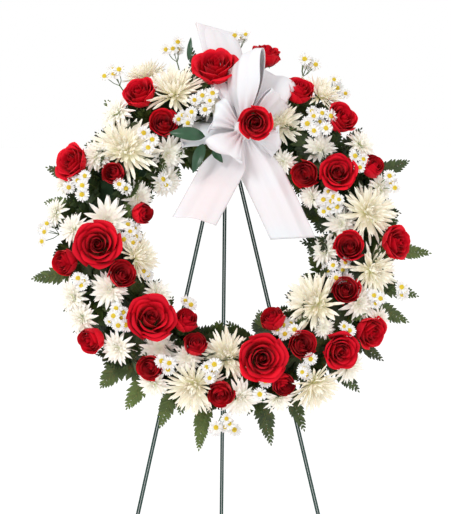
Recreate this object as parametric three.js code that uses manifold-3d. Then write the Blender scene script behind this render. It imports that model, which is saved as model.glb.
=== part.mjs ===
// A standing funeral wreath: a soaked foam ring in a plastic tray, filled with roses, spider and
// spray chrysanthemums and fern, with a ribbon bow, hung on a folding three-legged wire easel.
// Units are millimetres, +Z is up and the wreath faces -Y.
//
// The ring, its flowers and the front of the easel share one leaning "panel". The panel's own frame
// has its origin at the ring's centre, x to the right, y up the slope and z out towards the viewer.

import * as THREE from "three";
import { mergeVertices } from "three/addons/utils/BufferGeometryUtils.js";
import Module from "manifold-3d";

const wasm = await Module();
wasm.setup();
const radians = THREE.MathUtils.degToRad;

// ---------------------------------------------------------------- driving dimensions
const GAP = 0.3; // between pieces that touch
const RING_HEIGHT = 1100; // from the floor to the ring's centre
const LEAN = 12; // degrees that the front of the easel leans back
const OPENING = 30; // degrees between the front of the easel and its rear leg

const RING_RADIUS = 213; // to the middle of the foam's section
const FOAM_WIDTH = 70;
const FOAM_FRONT = 50; // the foam's front face, above the panel's plane
const TRAY_WALL = 1.6;
const TRAY_DEPTH = 18;

const LEG_WIRE = 1.6; // radius of the wire in the legs
const STRAND_PITCH = 3.6; // between the two strands of a leg
const LEG_SPLAY = 12.7; // degrees from the easel's centre line to each front leg
const LEG_APEX = 213; // where the front legs' lines would meet
const LEG_TOP = 166; // where the front legs end
const LEG_MIDDLE = -(GAP + LEG_WIRE); // the front legs lie just behind the panel's plane
const FOOT_WORN = STRAND_PITCH / 2; // the fold at a leg's foot is worn flat down to its wire's middle

const PLATE = { width: 52, bottom: 126, top: 186, thick: 2 };
const HOOK = { corner: 6, overhang: 5, lip: 18, flare: 3 };
const HINGE = {
  y: 150, standoff: 6, pin: 2, bore: 2.3, eye: 4.5, eyeLength: 12, knuckle: 10, play: 0.6,
  head: { radius: 3.6, thick: 1.6 },
};
const HEEL = { width: 10, length: 8.6, thick: 3 }; // stops the rear leg from opening further
const PRONG = { wire: 1.75, across: 110, y: -233, tip: 62, upturn: 22, flare: 4, corner: 6 };
const TIE = { wire: 0.8, x: 10, clearance: 1.2, corner: 8 };

const STEM_TIP = 14; // the stems end this far from the middle of the foam's section
const STEM_CLEARANCE = 0.5;
const DOME_SPREAD = 120; // how far the dome of flowers reaches to each side of the foam's middle
const FOAM_MIDDLE = FOAM_FRONT / 2;

const RIBBON = { width: 70, thick: 1.1, pinched: 0.2, opened: 72 };
const KNOT = new THREE.Vector3(26, 176, 106);
const KNOT_RADIUS = 18;
const PICK = { radius: 2, clock: 8 };

// The band of greenery under the outer flowers, and the fronds that it holds.
const COLLAR = { low: 26, thick: 3, height: 5, blade: 1.6, pairs: 4, stalk: 1.6, nods: [-4, 8] };

// Flowers are placed as [clock angle in degrees, distance from the ring's centre, bloom's diameter]
// and, where one stands prouder or lower than its kind, its rise above the middle of the foam.
const ROSES = [
  [356, 292, 76, 104], [12, 331, 54, 110], [26, 279, 54], [44, 280, 58], [60, 211, 62], [64, 272, 42],
  [51, 163, 50], [14, 183, 58, 136], [92, 284, 60], [95, 200, 54], [115, 213, 50], [124, 287, 56],
  [136, 267, 62], [146, 216, 50], [152, 150, 44], [165, 211, 78], [160, 262, 42], [183, 261, 48],
  [197, 184, 42], [211, 252, 48], [207, 151, 44], [223, 183, 80], [233, 286, 48], [250, 184, 50],
  [266, 215, 78], [261, 276, 48], [286, 144, 38], [299, 217, 42], [296, 293, 62], [329, 287, 58],
  [331, 217, 52],
];
const SPIDER_MUMS = [
  [340, 266, 118], [311, 228, 126], [80, 240, 106], [127, 176, 116], [103, 248, 96], [150, 288, 104],
  [181, 194, 98], [193, 256, 104], [24, 208, 90], [33, 294, 92], [258, 148, 90],
];
// Each spray of chrysanthemums carries two blooms on one forked stem.
const MUM_SPRAYS = [
  [[319, 286, 62], [302, 262, 54]],
  [[278, 200, 74], [273, 260, 52]],
  [[249, 280, 60], [241, 282, 58]],
  [[246, 214, 62], [225, 262, 56]],
  [[176, 272, 64], [163, 284, 50]],
  [[117, 246, 60], [119, 288, 46]],
];
// Fern fronds: [clock angle, distance of the tip from the ring's centre, width].
const FRONDS = [
  [350, 338, 26], [320, 318, 40], [293, 328, 34], [283, 316, 34], [259, 331, 36], [221, 322, 44],
  [211, 326, 40], [200, 330, 34], [188, 353, 36], [168, 348, 38], [158, 340, 34], [139, 334, 38],
  [128, 328, 32], [114, 334, 38], [106, 334, 34], [93, 349, 36], [66, 339, 40],
];
// Bow loops: [clock angle, length, depth, tilt towards the viewer and spin about the loop's own
// line in degrees, skew of the fold].
const BOW_LOOPS = [
  [347, 198, 18, -14, 22, 0.36], [2, 126, 30, 12, -40, -0.45], [33, 118, 24, -8, 0, 0.1],
  [50, 88, 22, 12, 60, 0], [113, 66, 12, 10, 58, 0], [218, 70, 24, 30, 0, 0],
  [272, 108, 14, -16, 40, 0], [296, 60, 22, 14, 0, 0.23],
];
// Bow tails: [clock angle, length, tilt, curl towards the viewer at the end, skew of the cut end].
const BOW_TAILS = [
  [208, 173, 2, 14, -0.3],
  [155, 198, -4, -10, 0.4],
];
const TAIL_SAG = 14;

// ---------------------------------------------------------------- materials
const finish = (color, roughness, metalness = 0) =>
  new THREE.MeshStandardMaterial({ color, roughness, metalness });
const MATERIALS = {
  easel: finish(0x1c4a3c, 0.4, 0.3),
  foam: finish(0x2f4a2c, 0.95),
  tray: finish(0x23402f, 0.5),
  tie: finish(0x3d5a3f, 0.5, 0.4),
  rose: finish(0xb8101c, 0.6),
  spider: finish(0xf6efd2, 0.65),
  mum: finish(0xf7f1e2, 0.65),
  fern: finish(0x2c4f27, 0.6),
  ribbon: finish(0xf4eef0, 0.35),
};

// ---------------------------------------------------------------- solids and meshes
// A closed three.js geometry as a solid that can be joined and cut.
function solidOf(geometry, matrix) {
  const bare = geometry.index ? geometry.toNonIndexed() : geometry.clone();
  bare.deleteAttribute("normal");
  bare.deleteAttribute("uv");
  if (matrix) bare.applyMatrix4(matrix);
  const merged = mergeVertices(bare, 1e-3);
  const triVerts = new Uint32Array(merged.index.array);
  const vertProperties = merged.attributes.position.array;
  return new wasm.Manifold(new wasm.Mesh({ numProp: 3, vertProperties, triVerts }));
}

// The largest body of a solid, as a flat-shaded geometry. Slivers that a cut leaves are dropped.
function geometryOf(solid) {
  const bodies = solid.decompose();
  const largest = bodies.reduce((a, b) => (b.volume() > a.volume() ? b : a));
  const mesh = largest.getMesh();
  const positions = new Float32Array(mesh.numVert * 3);
  for (let i = 0; i < mesh.numVert; i++) {
    const start = i * mesh.numProp;
    positions.set(mesh.vertProperties.subarray(start, start + 3), i * 3);
  }
  const geometry = new THREE.BufferGeometry();
  geometry.setAttribute("position", new THREE.BufferAttribute(positions, 3));
  geometry.setIndex(new THREE.BufferAttribute(mesh.triVerts, 1));
  return geometry;
}

const unionOf = (solids) => solids.reduce((all, next) => all.add(next));
const at = (x, y, z) => new THREE.Matrix4().makeTranslation(x, y, z);

function addPiece(parent, name, geometry, material) {
  const mesh = new THREE.Mesh(geometry, material);
  mesh.name = name;
  parent.add(mesh);
  return mesh;
}

// ---------------------------------------------------------------- wire
// A bent wire: straight runs, with one station at each point.
class BentWire extends THREE.Curve {
  constructor(points) {
    super();
    this.points = points;
  }

  getPoint(t, target = new THREE.Vector3()) {
    const place = THREE.MathUtils.clamp(t, 0, 1) * (this.points.length - 1);
    const run = Math.min(Math.floor(place), this.points.length - 2);
    return target.copy(this.points[run]).lerp(this.points[run + 1], place - run);
  }

  getUtoTmapping(u) {
    return u;
  }
}

// The corners of a polyline, replaced by bends of the given reach.
function bend(corners, reach, steps = 4) {
  const points = [corners[0]];
  for (let i = 1; i < corners.length - 1; i++) {
    const before = corners[i].clone().lerp(corners[i - 1], reach / corners[i].distanceTo(corners[i - 1]));
    const after = corners[i].clone().lerp(corners[i + 1], reach / corners[i].distanceTo(corners[i + 1]));
    points.push(...new THREE.QuadraticBezierCurve3(before, corners[i], after).getPoints(steps));
  }
  points.push(corners[corners.length - 1]);
  return points;
}

function roundBar(points, radius, sides = 8) {
  const section = Array.from({ length: sides }, (_, i) => {
    const turn = (2 * Math.PI * i) / sides;
    return new THREE.Vector2(radius * Math.cos(turn), radius * Math.sin(turn));
  });
  const steps = points.length - 1;
  const extrudePath = new BentWire(points);
  return new THREE.ExtrudeGeometry(new THREE.Shape(section), { steps, extrudePath, bevelEnabled: false });
}

// Two strands side by side, running down from the origin and folded into one at the foot.
function hairpin(top, length) {
  const half = STRAND_PITCH / 2;
  const fold = Array.from({ length: 7 }, (_, i) => {
    const turn = Math.PI + (Math.PI * i) / 6;
    return new THREE.Vector3(half * Math.cos(turn), -length + half * Math.sin(turn), 0);
  });
  return roundBar([new THREE.Vector3(-half, top, 0), ...fold, new THREE.Vector3(half, top, 0)], LEG_WIRE);
}

// ---------------------------------------------------------------- the easel
const legX = (y) => (LEG_APEX - y) * Math.tan(radians(LEG_SPLAY)); // a front leg's middle, at height y
const plateBack = 2 * LEG_MIDDLE - PLATE.thick; // the front legs and the plate, one behind the other
const hingeZ = plateBack - HINGE.standoff;

const floor = new THREE.Plane(new THREE.Vector3(0, 0, 1), 0);
// Cuts a leg's foot flat where it meets the floor.
function standOnFloor(mesh) {
  mesh.updateWorldMatrix(true, false);
  const plane = floor.clone().applyMatrix4(mesh.matrixWorld.clone().invert());
  const cut = solidOf(mesh.geometry).trimByPlane(plane.normal.toArray(), -plane.constant);
  mesh.geometry = geometryOf(cut);
}

function addFrontLeg(panel, side, name) {
  const length = (RING_HEIGHT / Math.cos(radians(LEAN)) + LEG_TOP) / Math.cos(radians(LEG_SPLAY));
  const leg = addPiece(panel, name, hairpin(0, length - FOOT_WORN), MATERIALS.easel);
  leg.position.set(side * legX(LEG_TOP), LEG_TOP, LEG_MIDDLE);
  leg.rotation.z = side * radians(LEG_SPLAY);
  standOnFloor(leg);
}

const crosswise = new THREE.Matrix4().makeRotationZ(Math.PI / 2);
const sleeve = (radius, length, x) =>
  solidOf(new THREE.CylinderGeometry(radius, radius, length, 16), at(x, 0, 0).multiply(crosswise));

// The plate that joins the front legs, with the ring's hook in front and two hinge knuckles behind.
function hookPlate() {
  const { width, bottom, top, thick } = PLATE;
  const plate = new THREE.BoxGeometry(width, top - bottom, thick);
  const hookY = RING_RADIUS - FOAM_WIDTH / 2 - TRAY_WALL - 2 * GAP - PRONG.wire;
  const hookTip = FOAM_FRONT + HOOK.overhang;
  const corners = [
    new THREE.Vector3(0, hookY, plateBack + thick / 2),
    new THREE.Vector3(0, hookY, hookTip),
    new THREE.Vector3(0, hookY + HOOK.lip, hookTip + HOOK.flare),
  ];
  const hook = roundBar(bend(corners, HOOK.corner), PRONG.wire);
  const knuckleX = (HINGE.eyeLength + HINGE.knuckle) / 2 + HINGE.play;
  const toHinge = (solid) => solid.translate([0, HINGE.y, hingeZ]);
  const knuckles = [-1, 1].flatMap((side) => [
    toHinge(sleeve(HINGE.eye, HINGE.knuckle, side * knuckleX)),
    solidOf(
      new THREE.BoxGeometry(HINGE.knuckle, 2 * HINGE.eye, HINGE.standoff),
      at(side * knuckleX, HINGE.y, hingeZ + HINGE.standoff / 2),
    ),
  ]);
  const middle = at(0, (bottom + top) / 2, plateBack + thick / 2);
  const body = unionOf([solidOf(plate, middle), solidOf(hook), ...knuckles]);
  return body.subtract(toHinge(sleeve(HINGE.bore, width, 0)));
}

// A rivet with a head at each end, lying along x.
function hingePin() {
  const half = HINGE.eyeLength / 2 + HINGE.knuckle + 2 * HINGE.play;
  const { head } = HINGE;
  const profile = [
    [0, -half - head.thick], [head.radius, -half - head.thick], [head.radius, -half], [HINGE.pin, -half],
    [HINGE.pin, half], [head.radius, half], [head.radius, half + head.thick], [0, half + head.thick],
  ].map(([radius, along]) => new THREE.Vector2(radius, along));
  return new THREE.LatheGeometry(profile, 12).applyMatrix4(crosswise);
}

// The rear leg hangs from its eye; its heel bears on the plate when the easel is open.
function rearLeg(length) {
  const heel = new THREE.BoxGeometry(HEEL.width, HEEL.length, HEEL.thick);
  const body = unionOf([
    sleeve(HINGE.eye, HINGE.eyeLength, 0),
    solidOf(heel, at(0, HEEL.length / 2, 0)),
    solidOf(hairpin(-HINGE.bore, length)),
  ]);
  return body.subtract(sleeve(HINGE.bore, 2 * HINGE.eyeLength, 0));
}

// One wire behind both legs, its ends turned forward under the ring and up in front of it.
function prongWire(radius) {
  const { across, y, tip, upturn, flare, corner } = PRONG;
  const behind = 2 * LEG_MIDDLE - PRONG.wire;
  const side = (sign) => [
    new THREE.Vector3(sign * across, y + upturn, tip + flare),
    new THREE.Vector3(sign * across, y, tip),
    new THREE.Vector3(sign * across, y, behind),
  ];
  return solidOf(roundBar(bend([...side(-1), ...side(1).reverse()], corner), radius));
}

function addEasel(panel) {
  addFrontLeg(panel, -1, "front_leg_left");
  addFrontLeg(panel, 1, "front_leg_right");
  addPiece(panel, "hook_plate", geometryOf(hookPlate()), MATERIALS.easel);
  addPiece(panel, "prong_wire", geometryOf(prongWire(PRONG.wire)), MATERIALS.easel);

  const hinge = new THREE.Group();
  hinge.position.set(0, HINGE.y, hingeZ);
  hinge.rotation.x = radians(OPENING);
  panel.add(hinge);
  addPiece(hinge, "hinge_pin", hingePin(), MATERIALS.easel);
  hinge.updateWorldMatrix(true, false);
  const pivotHeight = new THREE.Vector3().setFromMatrixPosition(hinge.matrixWorld).z;
  const length = pivotHeight / Math.cos(radians(OPENING - LEAN));
  standOnFloor(addPiece(hinge, "rear_leg", geometryOf(rearLeg(length - FOOT_WORN)), MATERIALS.easel));
}

// ---------------------------------------------------------------- the ring
const facing = new THREE.Matrix4().makeRotationX(Math.PI / 2); // a lathe's axis, turned to face out
const ringSolid = (profile, segments) => {
  const outline = profile.map(([radius, height]) => new THREE.Vector2(radius, height));
  return solidOf(new THREE.LatheGeometry([...outline, outline[0]], segments), facing);
};

function foamRing() {
  const inner = RING_RADIUS - FOAM_WIDTH / 2;
  const outer = RING_RADIUS + FOAM_WIDTH / 2;
  const back = TRAY_WALL + GAP;
  return ringSolid(
    [
      [outer, back], [outer, FOAM_FRONT - 14], [outer - 6, FOAM_FRONT - 4], [outer - 16, FOAM_FRONT],
      [inner + 16, FOAM_FRONT], [inner + 6, FOAM_FRONT - 4], [inner, FOAM_FRONT - 14], [inner, back],
    ],
    40,
  );
}

function ringTray() {
  const inner = RING_RADIUS - FOAM_WIDTH / 2 - GAP;
  const outer = RING_RADIUS + FOAM_WIDTH / 2 + GAP;
  return ringSolid(
    [
      [outer + TRAY_WALL, 0], [outer + TRAY_WALL, TRAY_DEPTH], [outer, TRAY_DEPTH], [outer, TRAY_WALL],
      [inner, TRAY_WALL], [inner, TRAY_DEPTH], [inner - TRAY_WALL, TRAY_DEPTH], [inner - TRAY_WALL, 0],
    ],
    40,
  );
}

// A closed loop of wire round the ring's lowest stretch and the wire behind it.
function tieWire(radius) {
  const reach = FOAM_WIDTH / 2 + TRAY_WALL + GAP + TIE.clearance + TIE.wire;
  const low = -RING_RADIUS - reach - TIE.clearance;
  const high = -RING_RADIUS + reach;
  const front = FOAM_FRONT + TIE.clearance + TIE.wire;
  const back = 2 * LEG_MIDDLE - 2 * PRONG.wire - TIE.clearance - TIE.wire;
  const middle = (low + high) / 2;
  const corners = [
    [middle, front], [low, front], [low, back], [high, back], [high, front], [middle, front],
  ].map(([y, z]) => new THREE.Vector3(TIE.x, y, z));
  const loop = new BentWire(bend(corners, TIE.corner, 2));
  return solidOf(new THREE.TubeGeometry(loop, loop.points.length - 1, radius, 6, true));
}

// ---------------------------------------------------------------- flowers
// Where a flower's head is, in the panel's frame, and which way it looks: away from the foam.
function placeBloom([clock, reach], rise) {
  const turn = radians(clock);
  const outward = new THREE.Vector3(Math.sin(turn), Math.cos(turn), 0);
  const seat = outward.clone().multiplyScalar(RING_RADIUS).setZ(FOAM_MIDDLE);
  const sideways = reach - RING_RADIUS;
  const up = rise * Math.sqrt(1 - (sideways / DOME_SPREAD) ** 2);
  const head = seat.clone().addScaledVector(outward, sideways).setZ(FOAM_MIDDLE + up);
  return { seat, head, axis: head.clone().sub(seat).normalize(), stem: head.distanceTo(seat) - STEM_TIP };
}

function standOn({ head, axis }, spin) {
  const upright = new THREE.Quaternion().setFromUnitVectors(new THREE.Vector3(0, 1, 0), axis);
  const twist = new THREE.Quaternion().setFromAxisAngle(new THREE.Vector3(0, 1, 0), radians(spin));
  return new THREE.Matrix4().compose(head, upright.multiply(twist), new THREE.Vector3(1, 1, 1));
}

// A lathe whose rims draw in between the petals. Rings are [radius, height, how far it draws in,
// 1 where the petals stand over the gaps of the ring below].
function petalLathe(rings, petals) {
  const outline = rings.map(([radius, height]) => new THREE.Vector2(radius, height));
  const geometry = new THREE.LatheGeometry(outline, 2 * petals);
  const position = geometry.attributes.position;
  for (let i = 0; i < position.count; i++) {
    const [, , drawn = 0, shifted = 0] = rings[i % rings.length];
    const segment = Math.floor(i / rings.length);
    const scale = (segment + shifted) % 2 ? 1 - drawn : 1;
    position.setXYZ(i, position.getX(i) * scale, position.getY(i), position.getZ(i) * scale);
  }
  return geometry;
}

// The three kinds of bloom, from the stem's cut end up. The head's widest rim is at height 0.
const stemRings = (radius, length, neck) => [
  [0, -length],
  [radius, -length + radius],
  [radius, -neck],
];
const KINDS = {
  rose: {
    petals: 5,
    stem: 2.6,
    rise: (diameter) => 60 + 0.42 * diameter,
    neck: (r) => 1.1 * r,
    head: (r) => [
      [0.5 * r, -0.92 * r], [0.9 * r, -0.4 * r], [r, 0, 0.1], [0.7 * r, -0.12 * r],
      [0.52 * r, 0.16 * r, 0.16, 1], [0.3 * r, 0.02 * r], [0, 0.22 * r],
    ],
  },
  spider: {
    petals: 9,
    stem: 2.4,
    rise: () => 66,
    neck: (r) => 0.34 * r,
    head: (r) => [
      [0.2 * r, -0.28 * r], [r, 0, 0.5], [0.42 * r, 0.08 * r],
      [0.74 * r, 0.24 * r, 0.42, 1], [0.26 * r, 0.3 * r], [0, 0.36 * r],
    ],
  },
  mum: {
    petals: 7,
    stem: 1.8,
    rise: () => 70,
    neck: (r) => 0.42 * r,
    head: (r) => [
      [0.3 * r, -0.34 * r], [r, 0, 0.2], [0.62 * r, 0.2 * r, 0.2, 1], [0, 0.34 * r],
    ],
  },
};

function bloomSolid(kind, place, diameter, spin) {
  const { petals, stem, neck, head } = KINDS[kind];
  const radius = diameter / 2;
  const rings = [...stemRings(stem, place.stem, neck(radius)), ...head(radius)];
  return solidOf(petalLathe(rings, petals), standOn(place, spin));
}

// A plain round outline with few sides, none of them nearer to the axis than the ring's radius.
function roomOf(rings, sides, matrix) {
  const widened = 1 / Math.cos(Math.PI / sides);
  const outline = rings.map(([radius, height]) => new THREE.Vector2(widened * radius, height));
  return solidOf(new THREE.LatheGeometry(outline, sides), matrix);
}

// The room that a bloom needs: its head with no gaps between the petals, its stem, and a little more.
function claimBloom(kind, place, diameter) {
  const { stem, neck, head } = KINDS[kind];
  const radius = diameter / 2;
  const matrix = standOn(place, 0);
  const grow = STEM_CLEARANCE;
  const widest = head(radius).findIndex(([r]) => r >= radius);
  const top = Math.max(...head(radius).map(([, height]) => height)) + grow;
  const outer = head(radius).slice(0, widest + 1);
  const tip = -place.stem - grow;
  claim(roomOf([[0, tip], [stem + grow, tip], [stem + grow, -neck(radius)], [0, -neck(radius)]], 6, matrix));
  const rim = outer.map(([r, height]) => [r + grow, height - grow]);
  const low = -neck(radius) - grow;
  claim(roomOf([[0, low], [stem + grow, low], ...rim, [0.6 * radius, top], [0, top]], 8, matrix));
}

// Rooms already taken, so that each later piece is cut clear of them.
const taken = [];
function claim(solid) {
  taken.push({ solid, box: solid.boundingBox() });
}
function cutClear(solid) {
  const box = solid.boundingBox();
  const near = taken.filter((room) =>
    [0, 1, 2].every((k) => room.box.min[k] < box.max[k] && box.min[k] < room.box.max[k]),
  );
  return near.reduce((rest, room) => rest.subtract(room.solid), solid);
}

const SPIN_STEP = 37; // degrees, so that no two neighbours are turned alike
function addBlooms(panel, kind, blooms) {
  blooms.forEach((bloom, i) => {
    const [, , diameter, rise = KINDS[kind].rise(diameter)] = bloom;
    const place = placeBloom(bloom, rise);
    const solid = cutClear(bloomSolid(kind, place, diameter, i * SPIN_STEP));
    const name = `${kind === "rose" ? "rose" : "spider_mum"}_${String(i + 1).padStart(2, "0")}`;
    addPiece(panel, name, geometryOf(solid), MATERIALS[kind]);
    claimBloom(kind, place, diameter);
  });
}

// Two blooms whose stems run to one fork in the foam.
function addSprays(panel) {
  MUM_SPRAYS.forEach((blooms, i) => {
    const rise = KINDS.mum.rise();
    const places = blooms.map((bloom) => placeBloom(bloom, rise));
    const fork = places[0].seat.clone().lerp(places[1].seat, 0.5);
    const forked = places.map(({ head }) => ({
      head,
      axis: head.clone().sub(fork).normalize(),
      stem: head.distanceTo(fork) - STEM_TIP / 2,
    }));
    const shoot = solidOf(new THREE.IcosahedronGeometry(STEM_TIP / 2 + 1, 0), at(...fork.toArray()));
    const heads = forked.map((place, k) => bloomSolid("mum", place, blooms[k][2], k * SPIN_STEP));
    const spray = cutClear(unionOf([shoot, ...heads]));
    addPiece(panel, `mum_spray_${i + 1}`, geometryOf(spray), MATERIALS.mum);
    forked.forEach((place, k) => claimBloom("mum", place, blooms[k][2]));
    claim(solidOf(new THREE.IcosahedronGeometry(STEM_TIP / 2 + 1 + STEM_CLEARANCE, 0), at(...fork.toArray())));
  });
}

// ---------------------------------------------------------------- fern
// A frond seen flat: leaflets in pairs, longest a third of the way along.
function frondShape(length, width) {
  const step = 1 / (COLLAR.pairs + 1);
  const side = (sign) =>
    Array.from({ length: COLLAR.pairs }, (_, k) => {
      const along = (k + 1) * step;
      const reach = (width / 2) * Math.sin(Math.PI * Math.pow(along, 0.7));
      return [
        new THREE.Vector2(sign * COLLAR.stalk, length * (along - 0.3 * step)),
        new THREE.Vector2(sign * reach, length * (along + 0.35 * step)),
      ];
    }).flat();
  const left = side(-1).reverse();
  return new THREE.Shape([new THREE.Vector2(0, 0), ...side(1), new THREE.Vector2(0, length), ...left]);
}

// Fronds tucked in all round the foam's outer side, held by one band of greenery.
function fernCollar() {
  const { low, thick, height, blade, nods } = COLLAR;
  const inner = RING_RADIUS + FOAM_WIDTH / 2 + TRAY_WALL + 2 * GAP;
  const root = inner + thick / 2;
  const outer = inner + thick;
  const ring = ringSolid([[inner, low], [outer, low], [outer, low + height], [inner, low + height]], 40);
  const fronds = FRONDS.map(([clock, reach, width], i) => {
    const shape = frondShape(reach - root, width);
    const leaf = new THREE.ExtrudeGeometry(shape, { depth: blade, bevelEnabled: false });
    const nod = new THREE.Matrix4().makeRotationX(radians(nods[i % nods.length]));
    const turn = new THREE.Matrix4().makeRotationZ(-radians(clock));
    return solidOf(leaf, turn.multiply(at(0, root, low + (height - blade) / 2)).multiply(nod));
  });
  return unionOf([ring, ...fronds]);
}

// ---------------------------------------------------------------- the bow
// A piece of ribbon lies along x from the knot, its width along y and its outline in x and z. Near
// the knot it is gathered; further out one edge may run ahead of the other.
function gatheredRibbon(outline, hole, skew) {
  const shape = new THREE.Shape(outline);
  if (hole) shape.holes.push(new THREE.Path(hole));
  const geometry = new THREE.ExtrudeGeometry(shape, { depth: RIBBON.width, bevelEnabled: false });
  const position = geometry.attributes.position;
  for (let i = 0; i < position.count; i++) {
    const x = position.getX(i);
    const open = THREE.MathUtils.smoothstep(x, 4, RIBBON.opened);
    const across = (position.getZ(i) - RIBBON.width / 2) * (RIBBON.pinched + (1 - RIBBON.pinched) * open);
    position.setXYZ(i, x + skew * across * open, across, position.getY(i));
  }
  // Exchanging y and z turned the faces round, so each triangle's second and third corners swap.
  geometry.setIndex(Array.from({ length: position.count }, (_, i) => i + [0, 1, -1][i % 3]));
  return geometry;
}

// A teardrop from the knot out and back.
function teardrop(length, depth, inset) {
  const start = new THREE.Vector2(3 * inset, 0);
  const end = new THREE.Vector2(length - inset, 0);
  const half = (from, to, sign) => {
    const near = new THREE.Vector2(0.45 * length, sign * (0.5 * depth - inset));
    const far = new THREE.Vector2(length - inset, sign * (0.8 * depth - inset));
    const controls = sign > 0 ? [near, far] : [far, near];
    return new THREE.CubicBezierCurve(from, ...controls, to).getPoints(6).slice(0, -1);
  };
  return [...half(start, end, 1), ...half(end, start, -1)];
}

function fromKnot(clock, tilt, spin) {
  const turn = radians(clock);
  const along = new THREE.Vector3(Math.sin(turn), Math.cos(turn), Math.tan(radians(tilt))).normalize();
  const across = new THREE.Vector3(0, 0, 1).cross(along).normalize().applyAxisAngle(along, radians(spin));
  const out = along.clone().cross(across);
  return new THREE.Matrix4().makeBasis(along, across, out).setPosition(KNOT);
}

function bowLoop([clock, length, depth, tilt, spin, skew]) {
  const outline = teardrop(length, depth, 0);
  const hole = teardrop(length, depth, RIBBON.thick).reverse();
  return solidOf(gatheredRibbon(outline, hole, skew), fromKnot(clock, tilt, spin));
}

function bowTail([clock, length, tilt, curl, skew]) {
  const steps = 8;
  const drop = (t) => -TAIL_SAG * Math.sin(Math.PI * Math.min(1, 1.6 * t)) * (1 - t) + curl * t * t;
  const line = (offset) =>
    Array.from({ length: steps + 1 }, (_, i) => {
      const t = i / steps;
      return new THREE.Vector2(t * length, drop(t) + offset);
    });
  const outline = [...line(0), ...line(RIBBON.thick).reverse()];
  return solidOf(gatheredRibbon(outline, null, skew), fromKnot(clock, tilt, 0));
}

function addBow(panel) {
  const knot = solidOf(new THREE.IcosahedronGeometry(KNOT_RADIUS, 1), at(...KNOT.toArray()));
  const bow = cutClear(unionOf([knot, ...BOW_LOOPS.map(bowLoop), ...BOW_TAILS.map(bowTail)]));
  addPiece(panel, "ribbon_bow", geometryOf(bow), MATERIALS.ribbon);

  // The bow is wired to a wooden pick, which is pushed into the foam.
  const { seat } = placeBloom([PICK.clock, RING_RADIUS], KNOT.z);
  const foot = KNOT.clone().lerp(seat, 0.9);
  const top = KNOT.clone().lerp(seat, (KNOT_RADIUS + GAP) / KNOT.distanceTo(seat));
  const pick = cutClear(solidOf(roundBar([foot, top], PICK.radius, 6)));
  addPiece(panel, "bow_pick", geometryOf(pick), MATERIALS.tray);
  claim(solidOf(roundBar([foot, top], PICK.radius + GAP, 6)));
}

// ---------------------------------------------------------------- assembly
const wreathOnEasel = new THREE.Group();
const panel = new THREE.Group();
panel.position.z = RING_HEIGHT;
panel.rotation.x = Math.PI / 2 - radians(LEAN);
wreathOnEasel.add(panel);

addEasel(panel);
addPiece(panel, "ring_tray", geometryOf(ringTray()), MATERIALS.tray);
addPiece(panel, "tie_wire", geometryOf(tieWire(TIE.wire)), MATERIALS.tie);
claim(prongWire(PRONG.wire + GAP));
claim(tieWire(TIE.wire + GAP));

addBlooms(panel, "rose", ROSES);
addBlooms(panel, "spider", SPIDER_MUMS);
addSprays(panel);
addBow(panel);
const foam = foamRing();
addPiece(panel, "foam_ring", geometryOf(cutClear(foam)), MATERIALS.foam);
claim(foam);
addPiece(panel, "fern_collar", geometryOf(cutClear(fernCollar())), MATERIALS.fern);

// The part's origin is under the middle of its outline.
const outline = new THREE.Box3().setFromObject(wreathOnEasel, true);
const middle = outline.getCenter(new THREE.Vector3());
panel.position.x -= middle.x;
panel.position.y -= middle.y;

export default wreathOnEasel;
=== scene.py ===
"""A funeral wreath on its wire easel: petals, leaves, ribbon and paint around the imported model."""

import math
import bpy
import numpy as np
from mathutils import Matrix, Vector


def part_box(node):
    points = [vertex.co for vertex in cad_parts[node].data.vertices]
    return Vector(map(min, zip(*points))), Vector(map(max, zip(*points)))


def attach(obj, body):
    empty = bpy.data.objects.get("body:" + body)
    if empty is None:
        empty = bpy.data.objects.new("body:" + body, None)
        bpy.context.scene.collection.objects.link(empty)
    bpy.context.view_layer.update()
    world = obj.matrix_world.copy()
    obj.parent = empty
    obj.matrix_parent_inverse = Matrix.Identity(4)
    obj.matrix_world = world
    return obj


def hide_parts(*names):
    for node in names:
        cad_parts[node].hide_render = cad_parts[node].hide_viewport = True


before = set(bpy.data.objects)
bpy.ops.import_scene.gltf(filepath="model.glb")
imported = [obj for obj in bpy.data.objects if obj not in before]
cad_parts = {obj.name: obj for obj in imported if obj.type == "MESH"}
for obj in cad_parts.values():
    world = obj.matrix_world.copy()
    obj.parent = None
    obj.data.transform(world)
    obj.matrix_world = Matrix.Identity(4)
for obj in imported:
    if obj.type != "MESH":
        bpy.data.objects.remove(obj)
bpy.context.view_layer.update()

MM = 0.001
WREATH = "wreath_on_front_legs"
RING_RADIUS = 213 * MM  # to the middle of the foam's section
FOAM_MIDDLE = 25 * MM  # the middle of the foam's section, above the panel's plane
DOME_SPREAD = 120 * MM  # how far the dome of flowers reaches to each side of the foam's middle
TO_VIEWER = np.array([0, 0, 1.0])  # in the panel's frame
GOLDEN = math.pi * (3 - math.sqrt(5))
STEM_FOOT = 14 * MM  # how far from the middle of the foam every stem starts
STEM_RADIUS = 2.4 * MM  # of roses and spider chrysanthemums


# ---------------------------------------------------------------- places
def node_points(name):
    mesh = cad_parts[name].data
    flat = np.zeros(3 * len(mesh.vertices))
    mesh.vertices.foreach_get("co", flat)
    return flat.reshape(-1, 3)


def panel_frame():
    """The leaning plane behind the ring: x to the right, y up the slope, z out to the viewer."""
    points = node_points("ring_tray")
    low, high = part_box("ring_tray")
    middle = np.array((low + high) / 2)
    normal = np.linalg.svd(points - middle, full_matrices=False)[2][2]
    normal = -normal if normal[1] > 0 else normal
    back = middle + normal * ((points - middle) @ normal).min()
    right = np.array([1.0, 0.0, 0.0])
    up = np.cross(normal, right)
    return np.column_stack([right, up, normal]), back


PANEL_AXES, PANEL_ORIGIN = panel_frame()


def to_world(points):
    return points @ PANEL_AXES.T + PANEL_ORIGIN


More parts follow.
